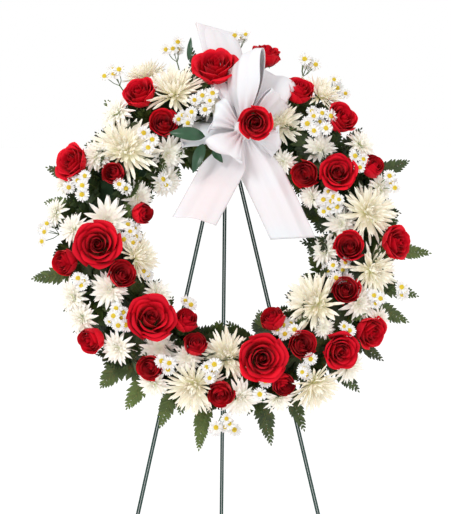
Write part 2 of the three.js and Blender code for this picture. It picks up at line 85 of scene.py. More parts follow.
def unit(vector):
    return vector / np.linalg.norm(vector)


def clock_direction(clock):
    turn = math.radians(clock)
    return np.array([math.sin(turn), math.cos(turn), 0.0])


def place_bloom(clock, reach, rise):
    """A head over the ring, in the panel's frame: its centre and the way it looks."""
    outward = clock_direction(clock)
    sideways = reach * MM - RING_RADIUS
    up = rise * MM * math.sqrt(max(0.04, 1 - (sideways / DOME_SPREAD) ** 2))
    seat = outward * RING_RADIUS + np.array([0, 0, FOAM_MIDDLE])
    head = seat + outward * sideways + np.array([0, 0, up])
    return head, unit(head - seat), seat


def bloom_of(node, crown):
    """The centre, axis, radius and foam seat of a CAD bloom whose top is crown radii above its rim."""
    points = (node_points(node) - PANEL_ORIGIN) @ PANEL_AXES
    flat = points * [1, 1, 0]
    outward = flat / np.linalg.norm(flat, axis=1, keepdims=True)
    seats = outward * RING_RADIUS + [0, 0, FOAM_MIDDLE]
    tip = np.argmin(np.linalg.norm(points - seats, axis=1))
    seat = seats[tip]
    axis = unit(points[tip] - seat)
    along = (points - seat) @ axis
    radius = np.linalg.norm(points - seat - along[:, None] * axis, axis=1).max()
    return seat + axis * (along.max() - crown * radius), axis, radius, seat


def basis_for(axis, spin=0.0):
    """Axes whose third is the given one, turned about it by spin."""
    helper = np.array([0.0, 1.0, 0.0]) if abs(axis[1]) < 0.9 else np.array([1.0, 0.0, 0.0])
    first = unit(np.cross(helper, axis))
    second = np.cross(axis, first)
    c, s = math.cos(spin), math.sin(spin)
    return np.column_stack([c * first + s * second, c * second - s * first, axis])


# ---------------------------------------------------------------- mesh soup
class Soup:
    """Grids of quads gathered into one mesh. Each vertex keeps how far along its petal or leaf it is, and
    a tone that its petal or leaf has: random, and lowered as painted shade on the inner petals of roses
    and on fern pieces in among the blooms."""

    def __init__(self):
        self.points, self.faces, self.along, self.tone, self.slots = [], [], [], [], []
        self.count = 0

    def grid(self, points, tone=0.5, slot=0, along=None):
        rows, columns = points.shape[:2]
        index = self.count + np.arange(rows * columns).reshape(rows, columns)
        corners = [index[:-1, :-1], index[:-1, 1:], index[1:, 1:], index[1:, :-1]]
        faces = np.stack(corners, axis=-1).reshape(-1, 4)
        if along is None:
            along = np.repeat(np.linspace(0, 1, rows), columns)
        self.points.append(points.reshape(-1, 3))
        self.faces.append(faces)
        self.along.append(along)
        self.tone.append(np.full(rows * columns, tone))
        self.slots.append(np.full(len(faces), slot))
        self.count += rows * columns

    def piece(self, name, materials, slot, replaces=()):
        points = to_world(np.concatenate(self.points))
        faces = np.concatenate(self.faces)
        mesh = bpy.data.meshes.new(name)
        mesh.vertices.add(len(points))
        mesh.vertices.foreach_set("co", points.astype(np.float32).ravel())
        mesh.loops.add(faces.size)
        mesh.loops.foreach_set("vertex_index", faces.astype(np.int32).ravel())
        mesh.polygons.add(len(faces))
        mesh.polygons.foreach_set("loop_start", np.arange(0, faces.size, 4, dtype=np.int32))
        mesh.polygons.foreach_set("material_index", np.concatenate(self.slots).astype(np.int32))
        mesh.update(calc_edges=True)
        for label, values in (("along", self.along), ("tone", self.tone)):
            layer = mesh.attributes.new(label, "FLOAT", "POINT")
            layer.data.foreach_set("value", np.concatenate(values).astype(np.float32))
        mesh.shade_smooth()
        for material in materials:
            mesh.materials.append(material)
        piece = bpy.data.objects.new(name, mesh)
        bpy.context.scene.collection.objects.link(piece)
        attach(piece, WREATH)
        if replaces:
            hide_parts(*replaces)
        return piece


def bezier(control, t):
    """A cubic through four control rows, at each t."""
    t = t[..., None]
    a, b, c, d = control
    return a * (1 - t) ** 3 + 3 * b * t * (1 - t) ** 2 + 3 * c * t * t * (1 - t) + d * t**3


def smoothstep(low, high, x):
    t = np.clip((x - low) / (high - low), 0, 1)
    return t * t * (3 - 2 * t)


def tube(soup, path, radius, slot, sides=6, tone=0.5):
    """A round stem along a few points."""
    path = np.asarray(path)
    heading = np.gradient(path, axis=0)
    heading /= np.linalg.norm(heading, axis=1, keepdims=True)
    first = np.cross(heading, [0.31, 0.22, 0.92])
    first /= np.linalg.norm(first, axis=1, keepdims=True)
    second = np.cross(heading, first)
    turn = np.linspace(0, 2 * math.pi, sides + 1)
    around = first[:, None] * np.cos(turn)[:, None] + second[:, None] * np.sin(turn)[:, None]
    radius = np.broadcast_to(radius, len(path))[:, None, None]
    soup.grid(path[:, None] + around * radius, tone, slot)


def curved_blade(length, lean, bend, widths, cup, sway=0.0):
    """A petal or leaf in its own frame: it starts on the z axis, leans out along x by lean radians
    and bends by a further bend. widths are half widths from its base to its tip."""
    rows = len(widths)
    t = np.linspace(0, 1, rows)
    angle = lean + bend * t**1.5
    step = length / (rows - 1)
    x = step * np.concatenate([[0], np.cumsum(np.sin((angle[1:] + angle[:-1]) / 2))])
    z = step * np.concatenate([[0], np.cumsum(np.cos((angle[1:] + angle[:-1]) / 2))])
    u = np.linspace(-1, 1, 3)
    widths = np.asarray(widths)[:, None]
    fold = cup * widths * np.abs(u) ** 1.6
    across = widths * u + sway * t[:, None] ** 2
    return np.stack(
        [x[:, None] - np.cos(angle)[:, None] * fold, across, z[:, None] + np.sin(angle)[:, None] * fold],
        axis=-1,
    )


def spun(points, turn):
    c, s = math.cos(turn), math.sin(turn)
    return points @ np.array([[c, s, 0], [-s, c, 0], [0, 0, 1]])


# ---------------------------------------------------------------- materials
def material(name, roughness, **sockets):
    made = bpy.data.materials.new(name)
    made.use_nodes = True
    shader = made.node_tree.nodes["Principled BSDF"]
    shader.inputs["Roughness"].default_value = roughness
    for label, value in sockets.items():
        shader.inputs[label.replace("_", " ")].default_value = value
    return made, made.node_tree, shader


def add(tree, kind, **values):
    node = tree.nodes.new(kind)
    for label, value in values.items():
        if label in node.inputs:
            node.inputs[label].default_value = value
        else:
            setattr(node, label, value)
    return node


def attribute(tree, name):
    return add(tree, "ShaderNodeAttribute", attribute_name=name).outputs["Fac"]


def ramp(tree, source, stops):
    node = add(tree, "ShaderNodeValToRGB")
    elements = node.color_ramp.elements
    while len(elements) < len(stops):
        elements.new(0.5)
    for element, (position, color) in zip(elements, stops):
        element.position = position
        element.color = (*color, 1)
    tree.links.new(source, node.inputs["Fac"])
    return node.outputs["Color"]


def noise(tree, scale, detail=3.0):
    coordinates = add(tree, "ShaderNodeTexCoord").outputs["Object"]
    node = add(tree, "ShaderNodeTexNoise", Scale=scale, Detail=detail)
    tree.links.new(coordinates, node.inputs["Vector"])
    return node.outputs["Fac"]


def mixed(tree, factor, a, b, blend="MIX"):
    node = add(tree, "ShaderNodeMix", data_type="RGBA", blend_type=blend)
    for socket, value in ((node.inputs[0], factor), (node.inputs[6], a), (node.inputs[7], b)):
        if isinstance(value, bpy.types.NodeSocket):
            tree.links.new(value, socket)
        elif isinstance(value, tuple):
            socket.default_value = (*value, 1)
        else:
            socket.default_value = value
    return node.outputs[2]


def bump(tree, shader, height, strength, distance):
    node = add(tree, "ShaderNodeBump", Strength=strength, Distance=distance)
    tree.links.new(height, node.inputs["Height"])
    tree.links.new(node.outputs["Normal"], shader.inputs["Normal"])


def petal_material(name, colours, dark, roughness=0.55, specular=0.3, sheen=0.0, glow=0.0):
    """Petals go through three colours along their length. dark is mixed into those of low tone.
    glow stands for the light that comes through thin white petals."""
    made, tree, shader = material(
        name, roughness, Sheen_Weight=sheen, Sheen_Roughness=0.5, Specular_IOR_Level=specular,
        Subsurface_Weight=0.1, Subsurface_Scale=0.004,
    )
    shader.inputs["Subsurface Radius"].default_value = (1.0, 0.6, 0.5)
    along = ramp(tree, attribute(tree, "along"), list(zip((0.0, 0.4, 0.9), colours)))
    tone = ramp(tree, attribute(tree, "tone"), [(0.0, (0.7,) * 3), (0.8, (0,) * 3)])
    toned = mixed(tree, tone, along, dark)
    cloudy = mixed(tree, 0.25, toned, noise(tree, 70), "OVERLAY")
    tree.links.new(cloudy, shader.inputs["Base Color"])
    tree.links.new(toned, shader.inputs["Emission Color"])
    shader.inputs["Emission Strength"].default_value = glow
    bump(tree, shader, noise(tree, 900, 4), 0.25, 0.0005)
    return made


def leaf_material(name, deep, light, roughness):
    made, tree, shader = material(name, roughness, Subsurface_Weight=0.05, Subsurface_Scale=0.003)
    toned = ramp(tree, attribute(tree, "tone"), [(0.0, deep), (1.0, light)])
    mottled = mixed(tree, 0.4, toned, noise(tree, 90), "OVERLAY")
    tree.links.new(mottled, shader.inputs["Base Color"])
    bump(tree, shader, noise(tree, 500, 4), 0.35, 0.0008)
    return made


# A rose's petals darken from rim to base, and its dark colour goes on the inner whorls (see rose_head).
# This is painted shade in the heart of the bloom, laid over the rose's own red.
ROSE = petal_material(
    "rose_petal", [(0.34, 0.0, 0.006), (0.7, 0.002, 0.012), (0.8, 0.004, 0.02)], (0.46, 0.0, 0.012),
    0.6, 0.12, 0.04,
)
SPIDER = petal_material(
    "spider_petal", [(0.86, 0.88, 0.38), (0.97, 0.94, 0.74), (0.98, 0.95, 0.85)],
    (0.9, 0.79, 0.64), glow=0.07,
)
MUM = petal_material(
    "mum_petal", [(0.78, 0.87, 0.38), (0.95, 0.94, 0.81), (0.97, 0.95, 0.9)],
    (0.88, 0.8, 0.74), glow=0.07,
)
ASTER = petal_material(
    "aster_petal", [(0.84, 0.83, 0.74), (0.88, 0.87, 0.84), (0.9, 0.89, 0.88)], (0.74, 0.68, 0.66),
)
DISC = petal_material(
    "aster_disc", [(0.72, 0.55, 0.03), (0.72, 0.55, 0.04), (0.66, 0.46, 0.03)], (0.55, 0.34, 0.02), 0.8,
)
GREEN = leaf_material("stem_green", (0.035, 0.09, 0.015), (0.12, 0.2, 0.05), 0.5)
FERN = leaf_material("fern_leaf", (0.016, 0.035, 0.006), (0.1, 0.15, 0.025), 0.55)
RUSCUS = leaf_material("ruscus_leaf", (0.012, 0.05, 0.022), (0.03, 0.11, 0.045), 0.3)


# Which of its piece's materials a part takes: petals take the first.
GREEN_SLOT = 1  # on roses and chrysanthemums
DISC_SLOT, ASTER_GREEN_SLOT = 1, 2


# ---------------------------------------------------------------- roses
ROSE_HEADS = []  # the centre and radius of each, so that nothing else is seen to grow through one
ROSE_CORE = 0.86  # the share of a rose's radius that the rest keeps out of


def in_a_rose(points):
    flat = points.reshape(-1, 3)
    return any(
        (np.linalg.norm(flat - centre, axis=1) < ROSE_CORE * radius).any() for centre, radius in ROSE_HEADS
    )


# Whorls of petals from the heart outwards: [petals, how far each is opened, half angle it spans].
ROSE_WHORLS = [
    (2, 0.0, 2.4), (2, 0.09, 1.9), (3, 0.2, 1.5), (3, 0.36, 1.25),
    (4, 0.56, 1.0), (5, 0.8, 0.86), (5, 1.0, 0.8),
]


def rose_profile(opened, openness):
    """A petal's profile, base to rim, as radius and height over the bloom's radius."""
    wide = np.array([
        [0.08, -0.98],
        [0.2 + 0.8 * opened, -0.95],
        [0.05 + 0.62 * opened, -0.12],
        [0.05 + 0.95 * opened, 0.16 + 0.5 * opened * (1 - opened) - 0.18 * opened],
    ])
    bud = np.array([
        [0.08, -1.15],
        [0.25 + 0.9 * opened, -1.1],
        [0.12 + 0.84 * opened, 0.12],
        [0.06 + 0.66 * opened, 0.5 - 0.2 * opened],
    ])
    return bud + (wide - bud) * openness


def rose_petal(profile, span, curl, rng):
    v = np.linspace(0, 1, 12)[:, None]
    u = np.linspace(-1, 1, 11)[None, :]
    point = 0.05 * np.exp(-((u / 0.22) ** 2))
    reach = v * (0.97 - 0.27 * np.abs(u) ** 3 + point)
    r, z = np.moveaxis(bezier(profile, reach), -1, 0)
    rim = smoothstep(0.74, 1.0, v) + 0 * u
    side = smoothstep(0.62, 1.0, np.abs(u)) * smoothstep(0.35, 0.9, v)
    wave = rng.uniform(0.01, 0.035) * np.sin(rng.uniform(2, 4) * u + rng.uniform(0, 6)) * v**2
    r = r + curl * (0.07 * rim**2 + 0.09 * side) + 0.06 * u * v**2
    z = z - curl * (0.1 * rim**3 + 0.08 * side) + wave
    spread = span * (0.5 + 0.5 * np.sin(0.5 * math.pi * np.minimum(1, v / 0.6))) * u
    return np.stack([r * np.cos(spread), r * np.sin(spread), z], axis=-1)


def rose_head(soup, centre, axis, radius, openness, rng):
    axes = basis_for(axis, rng.uniform(0, 6.28))
    turn = 0.0
    for petals, opened, span in ROSE_WHORLS:
        turn += rng.uniform(0.6, 1.4)
        for k in range(petals):
            stage = min(1, max(0, opened + rng.uniform(-0.045, 0.045)))
            profile = rose_profile(stage, openness) * [1, rng.uniform(0.94, 1.06)]
            profile[2:, 1] += rng.uniform(-0.05, 0.05) * stage
            curl = stage * (0.35 + 0.65 * openness) * rng.uniform(0.6, 1.4)
            petal = spun(rose_petal(profile, span, curl, rng), turn + 2 * math.pi * k / petals)
            lean = rng.normal(0, 0.035, 2) * stage
            petal[..., :2] += lean * (petal[..., 2:] + 0.9)
            # Less opened inner petals take a lower tone, and so more of the dark colour. This is painted
            # shade in the heart of the bloom.
            soup.grid(centre + radius * petal @ axes.T, rng.uniform(0.1, 1) * (0.35 + 0.65 * stage))


def sepals(soup, centre, axis, radius, rng):
    axes = basis_for(axis, rng.uniform(0, 6.28))
    for k in range(5):
        widths = radius * np.array([0.12, 0.16, 0.13, 0.07, 0.01])
        blade = curved_blade(0.85 * radius, 1.0, 1.1, widths, 0.3)
        soup.grid(centre + spun(blade, k * 1.2566) @ axes.T, rng.uniform(0.3, 0.9), GREEN_SLOT)


def add_rose(index, name):
    rng = np.random.default_rng(100 + index)
    centre, axis, radius, seat = bloom_of(name, 0.22)
    openness = float(np.clip((radius / MM - 18) / 14, 0.1, 1))
    soup = Soup()
    look = unit(axis + 0.25 * TO_VIEWER + rng.normal(0, 0.08, 3))
    rose_head(soup, centre, look, radius, openness, rng)
    ROSE_HEADS.append((centre, radius))
    base = centre - look * radius * (1.1 - 0.14 * openness)
    hip = [base + look * radius * s for s in (0.1, 0.0, -0.16, -0.26)]
    tube(soup, hip, radius * np.array([0.12, 0.17, 0.15, 0.08]), GREEN_SLOT, 8)
    sepals(soup, base, look, radius, rng)
    tube(soup, [hip[-1], seat + axis * STEM_FOOT], STEM_RADIUS, GREEN_SLOT)
    soup.piece(name.replace("rose", "rose_bloom"), [ROSE, GREEN], "rose_petal", [name])


# ---------------------------------------------------------------- chrysanthemums
SPIDER_PETALS = 150


def spider_head(soup, centre, axis, radius, rng):
    """Long quilled petals: short and upright in the middle, long and hooked at the rim."""
    axes = basis_for(axis, rng.uniform(0, 6.28))
    base = centre - axis * radius * 0.24
    for k in range(SPIDER_PETALS):
        t = (k + 0.5) / SPIDER_PETALS
        lean = 0.1 + 1.42 * t**0.8 + rng.normal(0, 0.08)
        length = radius * (0.36 + 0.74 * t**0.7) * rng.uniform(0.84, 1.06)
        bend = -0.55 + 0.7 * t + rng.normal(0, 0.25)
        width = max(1.5 * MM, radius * 0.04) * rng.uniform(0.85, 1.15)
        widths = width * np.array([0.6, 0.8, 0.9, 1.0, 1.15, 1.3, 1.1, 0.25])
        blade = curved_blade(length, lean, bend, widths, 0.7, rng.normal(0, 0.08) * radius)
        hook = np.array([-0.02, 0, 0.03]) * radius * rng.uniform(-0.2, 1.6)
        blade[-3:] += np.outer([0.15, 0.6, 1.6], hook)[:, None]
        blade = base + spun(blade, k * GOLDEN) @ axes.T
        if not in_a_rose(blade):
            soup.grid(blade, rng.uniform(0.1, 1))


MUM_FILL = 0.57  # a cushion head's radius over the diameter in the tables, so that heads crowd a little
MUM_PETAL = np.array([0.45, 0.85, 1.0, 0.98, 0.7, 0.08])  # half widths, base to tip
# Whorls of a cushion chrysanthemum from the middle out: [petals, lean, length, bend, half width].
MUM_WHORLS = [
    (6, 0.2, 0.26, -0.9, 0.05), (9, 0.45, 0.34, -0.9, 0.06), (11, 0.72, 0.46, -0.7, 0.07),
    (13, 0.95, 0.62, -0.45, 0.085), (15, 1.18, 0.8, -0.2, 0.1),
    (16, 1.38, 0.94, 0.05, 0.11), (14, 1.6, 1.0, 0.2, 0.11),
]


def mum_head(soup, centre, axis, radius, rng):
    axes = basis_for(axis, rng.uniform(0, 6.28))
    base = centre - axis * radius * 0.3
    for petals, lean, length, bend, width in MUM_WHORLS:
        start = rng.uniform(0, 6.28)
        for k in range(petals):
            size = radius * length * rng.uniform(0.86, 1.1)
            widths = radius * width * rng.uniform(0.85, 1.1) * MUM_PETAL
            tilt = lean + rng.normal(0, 0.07)
            blade = curved_blade(size, tilt, bend + rng.normal(0, 0.18), widths, 0.4)
            turn = start + 2 * math.pi * (k + rng.uniform(-0.2, 0.2)) / petals
            blade = base + spun(blade, turn) @ axes.T
            if not in_a_rose(blade):
                soup.grid(blade, rng.uniform(0.1, 1))


def add_spider(index, name):
    rng = np.random.default_rng(300 + index)
    centre, axis, radius, seat = bloom_of(name, 0.36)
    soup = Soup()
    spider_head(soup, centre, axis, radius, rng)
    calyx = [centre - axis * radius * 0.18, centre - axis * radius * 0.34]
    tube(soup, calyx, radius * np.array([0.2, 0.1]), GREEN_SLOT, 8)
    tube(soup, [centre - axis * radius * 0.3, seat + axis * STEM_FOOT], STEM_RADIUS, GREEN_SLOT)
    soup.piece(name.replace("mum", "bloom"), [SPIDER, GREEN], "spider_petal", [name])


# Pale spider chrysanthemums at the back of the ring, which no solid stands for.
BACK_SPIDERS = [(334, 316, 84, 46)]


def add_back_spiders():
    rng = np.random.default_rng(400)
    soup = Soup()
    for clock, reach, diameter, rise in BACK_SPIDERS:
        centre, axis, seat = place_bloom(clock, reach, rise)
        radius = diameter / 2 * MM
        spider_head(soup, centre, axis, radius, rng)
        tube(soup, [centre - axis * radius * 0.3, seat + axis * STEM_FOOT], STEM_RADIUS, GREEN_SLOT)
    soup.piece("spider_blooms_behind", [SPIDER, GREEN], "spider_petal")


# Heads of spray chrysanthemums: [clock angle, distance from the ring's centre, diameter, rise].
SPRAY_PAIRS = [
    [(319, 286, 62, 70), (302, 262, 54, 70)],
    [(278, 200, 74, 70), (273, 260, 52, 70)],
    [(249, 280, 60, 70), (241, 282, 58, 70)],
    [(246, 214, 62, 70), (225, 262, 56, 70)],
    [(176, 272, 64, 70), (163, 284, 50, 70)],
    [(117, 246, 60, 70), (119, 288, 46, 70)],
]
SINGLE_MUMS = [
    (325, 168, 64, 58), (314, 134, 56, 50), (295, 158, 54, 52), (279, 294, 50, 60), (212, 217, 60, 58),
    (199, 211, 48, 66), (207, 276, 52, 66), (134, 218, 34, 74), (83, 188, 58, 56), (97, 158, 54, 46),
    (64, 152, 40, 60), (46, 216, 54, 62), (55, 279, 54, 66), (72, 274, 48, 60), (36, 153, 44, 70),
    (354, 229, 58, 70), (232, 141, 58, 50), (137, 300, 58, 60), (289, 290, 40, 66),
]


def add_mum_stem(soup, centre, axis, radius, seat):
    calyx = [centre - axis * radius * 0.2, centre - axis * radius * 0.4]
    tube(soup, calyx, radius * np.array([0.3, 0.1]), GREEN_SLOT, 8)
    tube(soup, [centre - axis * radius * 0.36, seat + axis * STEM_FOOT], 1.6 * MM, GREEN_SLOT)


def add_mums():
    rng = np.random.default_rng(500)
    for index, pair in enumerate(SPRAY_PAIRS):
        soup = Soup()
        for clock, reach, diameter, rise in pair:
            centre, axis, seat = place_bloom(clock, reach, rise)
            mum_head(soup, centre, unit(axis + 0.3 * TO_VIEWER), MUM_FILL * diameter * MM, rng)
            add_mum_stem(soup, centre, axis, diameter / 2 * MM, seat)
        soup.piece(f"mum_pair_{index + 1}", [MUM, GREEN], "spray_petal", [f"mum_spray_{index + 1}"])
    soup = Soup()
    for clock, reach, diameter, rise in SINGLE_MUMS:
        centre, axis, seat = place_bloom(clock, reach, rise)
        mum_head(soup, centre, unit(axis + 0.3 * TO_VIEWER), MUM_FILL * diameter * MM, rng)
        add_mum_stem(soup, centre, axis, diameter / 2 * MM, seat)
    soup.piece("mums_between", [MUM, GREEN], "spray_petal")


# ---------------------------------------------------------------- asters
# Sprays of small asters: [clock angle, distance from the ring's centre, blooms, spread, rise].
ASTER_SPRAYS = [
    (4, 352, 6, 18, 62), (326, 346, 4, 16, 60), (345, 343, 4, 16, 60), (25, 336, 6, 18, 66),
    (36, 326, 4, 22, 66),
    (38, 242, 9, 24, 84), (60, 254, 3, 14, 84), (71, 289, 3, 16, 76), (71, 177, 9, 20, 70),
    (107, 190, 6, 22, 66), (107, 300, 3, 8, 76), (113, 266, 3, 10, 84), (129, 250, 3, 12, 84),
    (148, 179, 7, 18, 66), (148, 238, 4, 24, 84), (152, 258, 2, 8, 82), (168, 248, 3, 20, 82),
    (188, 225, 4, 14, 84), (181, 310, 6, 24, 62), (206, 233, 3, 12, 84), (233, 226, 7, 18, 78),
    (253, 254, 3, 8, 84), (271, 158, 7, 20, 66), (289, 258, 5, 22, 80), (295, 190, 2, 10, 78),
    (311, 140, 2, 8, 62), (272, 304, 4, 18, 56), (321, 208, 4, 20, 82), (341, 207, 5, 14, 88),
    (351, 227, 5, 20, 88), (212, 122, 3, 8, 50), (246, 148, 2, 8, 58),
]
ASTER_RADIUS = 12 * MM
ASTER_PETALS = 19
# The disc's profile: [height, radius] over the aster's radius.
DISC_PROFILE = [(0.04, 0.34), (0.17, 0.34), (0.26, 0.22), (0.28, 0.03)]


def aster_head(soup, centre, axis, radius, rng):
    axes = basis_for(axis, rng.uniform(0, 6.28))
    for k in range(ASTER_PETALS):
        lean = 1.28 + rng.normal(0, 0.1) + 0.16 * (k % 2)
        widths = radius * np.array([0.08, 0.14, 0.15, 0.07])
        blade = curved_blade(radius * rng.uniform(0.86, 1.04), lean, 0.25, widths, 0.2)
        turn = 2 * math.pi * (k + rng.uniform(-0.2, 0.2)) / ASTER_PETALS
        soup.grid(centre + spun(blade, turn) @ axes.T, rng.uniform(0.3, 1))
    ring = np.linspace(0, 2 * math.pi, 11)
    ripple = 1 + 0.06 * np.cos(5 * ring)
    rows = [
        np.stack([spread * ripple * np.cos(ring), spread * ripple * np.sin(ring), height + 0 * ring], -1)
        for height, spread in DISC_PROFILE
    ]
    soup.grid(centre + radius * np.array(rows) @ axes.T, rng.uniform(0.4, 1), DISC_SLOT)


def add_asters():
    rng = np.random.default_rng(700)
    soup = Soup()
    for clock, reach, blooms, spread, rise in ASTER_SPRAYS:
        middle, axis, seat = place_bloom(clock, reach, rise)
        axes = basis_for(axis)
        fork = middle - axis * 26 * MM
        tube(soup, [fork, seat + axis * STEM_FOOT], 1.1 * MM, ASTER_GREEN_SLOT)
        for k in range(blooms):
            ring = spread * MM * math.sqrt((k + 0.5) / blooms)
            turn = k * GOLDEN + rng.uniform(-0.3, 0.3)
            offset = np.array([ring * math.cos(turn), ring * math.sin(turn), rng.uniform(-6, 5) * MM])
            centre = middle + offset @ axes.T
            fanned = 6 * (centre - middle) + rng.normal(0, 0.18, 3)
            facing = unit(0.35 * axis + 1.2 * TO_VIEWER + fanned)
            radius = ASTER_RADIUS * rng.uniform(0.82, 1.06)
            if in_a_rose(centre - facing * 0.2 * radius):
                continue
            aster_head(soup, centre, facing, radius, rng)
            calyx = [centre - facing * 0.4 * MM, centre - facing * 3 * MM]
            tube(soup, calyx, np.array([2.4, 1.2]) * MM, ASTER_GREEN_SLOT)
            bow = (centre + fork) / 2 - axis * 5 * MM
            tube(soup, [centre - facing * 2.5 * MM, bow, fork], 0.7 * MM, ASTER_GREEN_SLOT, 5)
    soup.piece("asters", [ASTER, DISC, GREEN], "spray_petal")


# ---------------------------------------------------------------- leaves
LEAFLET = np.linspace(0, 1, 8)
TOOTHED = np.array([0.7, 1.0, 0.78, 1.0, 0.7, 0.82, 0.45, 0.1])


def fern_frond(soup, root, heading, face, length, width, rng, painted_shade=0.0):
    """A leatherleaf frond: broad toothed leaflets in pairs along a stalk that nods a little."""
    side = unit(np.cross(face, heading))
    face = np.cross(heading, side)
    nod = rng.uniform(-0.12, 0.25)
    t = np.linspace(0, 1, 6)
    stalk = root + np.outer(t * length, heading) - np.outer(nod * length * t**2, face)
    # The shade argument lowers the tone of the stalk and the leaflets, so the frond comes out darker. This
    # is painted shade for pieces down among the blooms.
    tube(soup, stalk, np.linspace(0.9, 0.35, 6) * MM, 0, 4, 0.9 - painted_shade)
    tone = rng.uniform(0.1, 1) - painted_shade
    pairs = max(4, round(length / (7.5 * MM)))
    for k in range(pairs + 1):
        place = 0.14 + 0.84 * k / pairs
        joint = root + heading * place * length - face * nod * length * place**2
        reach = 0.56 * width * math.sin(math.pi * (0.2 + 0.78 * place) ** 0.85) + 3 * MM
        hands = (0,) if k == pairs else (-1, 1)
        for hand in hands:
            lean = 0.95 - 0.4 * place + rng.normal(0, 0.07)
            out = math.sin(lean) * hand * side + math.cos(lean) * heading if hand else heading
            half = (0.17 * reach + 0.7 * MM) * TOOTHED
            droop = rng.uniform(0.0, 0.25) * reach * LEAFLET**2
            spine = joint + np.outer(LEAFLET * reach, out) - np.outer(droop, face)
            cross = np.cross(face, out)
            edges = np.outer([-1, 0, 1], cross) + np.outer([0.2, 0, 0.2], face)
            columns = spine[:, None] + half[:, None, None] * edges[None]
            if not in_a_rose(columns):
                soup.grid(columns, float(np.clip(tone + rng.normal(0, 0.12), 0, 1)))


# Fronds past the outer flowers: [clock angle, distance of the tip from the ring's centre, width].
OUTER_FRONDS = [
    (350, 338, 30), (320, 318, 44), (293, 328, 38), (283, 316, 38), (259, 331, 40), (221, 322, 48),
    (211, 326, 44), (200, 330, 38), (188, 353, 40), (168, 348, 42), (158, 340, 38), (139, 334, 42),
    (128, 328, 36), (114, 334, 42), (106, 334, 38), (93, 349, 40), (66, 339, 44),
]
FROND_HEIGHT = 28 * MM
FROND_WIDTH = 0.82  # a frond's leaflets reach this share of the width in the table


def add_ferns():
    rng = np.random.default_rng(900)
    soup = Soup()
    root_reach = RING_RADIUS + 37 * MM
    for k, (clock, reach, width) in enumerate(OUTER_FRONDS):
        outward = clock_direction(clock)
        root = outward * root_reach + np.array([0, 0, FROND_HEIGHT])
        heading = unit(outward + np.array([0, 0, -0.14 if k % 2 else 0.07]))
        length = reach * MM - root_reach
        fern_frond(soup, root, heading, TO_VIEWER, length, FROND_WIDTH * width * MM, rng)
    soup.piece("fern_fronds", [FERN], "fern_leaf", ["fern_collar"])


PIECES_BETWEEN = 300
PIECES_OVER_FOAM = 150


def add_filler():
    """Short pieces of fern pushed into the foam all over, to cover it between blooms."""
    rng = np.random.default_rng(901)
    soup = Soup()
    for k in range(PIECES_BETWEEN):
        outward = clock_direction(360 * k / PIECES_BETWEEN + rng.uniform(-3, 3))
        around = np.cross(outward, TO_VIEWER)
        lean = math.radians([-78, 30, -45, 62, -12, 84][k % 6] + rng.uniform(-9, 9))
        heading = math.sin(lean) * outward + math.cos(lean) * TO_VIEWER
        root = outward * RING_RADIUS + TO_VIEWER * FOAM_MIDDLE + heading * 26 * MM
        heading = unit(heading + around * rng.uniform(-0.9, 0.9))
        face = unit(np.cross(heading, around) * rng.choice([-1, 1]) + rng.normal(0, 0.35, 3))
        length = rng.uniform(44, 66) * MM
        # Pieces between the blooms are darkened as painted shade.
        fern_frond(soup, root, heading, face, length, rng.uniform(30, 42) * MM, rng, painted_shade=0.25)
    soup.piece("fern_between", [FERN], "fern_leaf")
    soup = Soup()
    for k in range(PIECES_OVER_FOAM):
        outward = clock_direction(360 * k / PIECES_OVER_FOAM)
        around = np.cross(outward, TO_VIEWER)
        lean = math.radians([-62, -20, 20, 62][k % 4] + rng.uniform(-12, 12))
        up = math.sin(lean) * outward + math.cos(lean) * TO_VIEWER
        root = outward * RING_RADIUS + TO_VIEWER * FOAM_MIDDLE + up * rng.uniform(44, 54) * MM
        heading = unit(around * rng.choice([-1, 1]) + rng.normal(0, 0.3) * np.cross(up, around))
        # Pieces lying over the foam, deeper down, take more painted shade.
        fern_frond(soup, root, heading, up, rng.uniform(44, 62) * MM, 38 * MM, rng, painted_shade=0.45)
    soup.piece("fern_over_foam", [FERN], "fern_leaf")


# Glossy ruscus leaves by the bow: [clock angle and reach of the leaf's foot, those of its tip, rise].
RUSCUS_LEAVES = [
    (347, 166, 330, 193, 122, 11), (345, 156, 330, 116, 118, 9), (350, 143, 356, 120, 108, 6),
    (348, 306, 350, 342, 80, 4),
]


def panel_point(clock, reach, height):
    return clock_direction(clock) * reach * MM + TO_VIEWER * height * MM


def add_ruscus():
    rng = np.random.default_rng(950)
    soup = Soup()
    for clock, reach, tip_clock, tip_reach, height, half in RUSCUS_LEAVES:
        foot, tip = panel_point(clock, reach, height), panel_point(tip_clock, tip_reach, height + 6)
        heading = unit(tip - foot)
        side = unit(np.cross(TO_VIEWER, heading))
        face = np.cross(heading, side)
        t = np.linspace(0, 1, 12)
        width = half * MM * np.sin(math.pi * t**0.85) ** 0.8 + 0.3 * MM
        arch = 0.14 * np.linalg.norm(tip - foot) * np.sin(math.pi * t)
        spine = foot + np.outer(t, tip - foot) + np.outer(arch, face)
        u = np.linspace(-1, 1, 7)
        trough = 0.35 * np.abs(u) ** 1.5
        rows = spine[:, None] + width[:, None, None] * (np.outer(u, side) + np.outer(trough, face))[None]
        soup.grid(rows, rng.uniform(0.2, 0.9))
    soup.piece("ruscus_leaves", [RUSCUS], "fern_leaf")


# ---------------------------------------------------------------- the bow
KNOT = np.array([26, 176, 106]) * MM
RIBBON_WIDTH = 70 * MM
CREASE = 9  # how far, in mm, a ribbon's edge falls away from the soft fold along it
PINCHED = 0.2  # the share of its width that the ribbon keeps at the knot
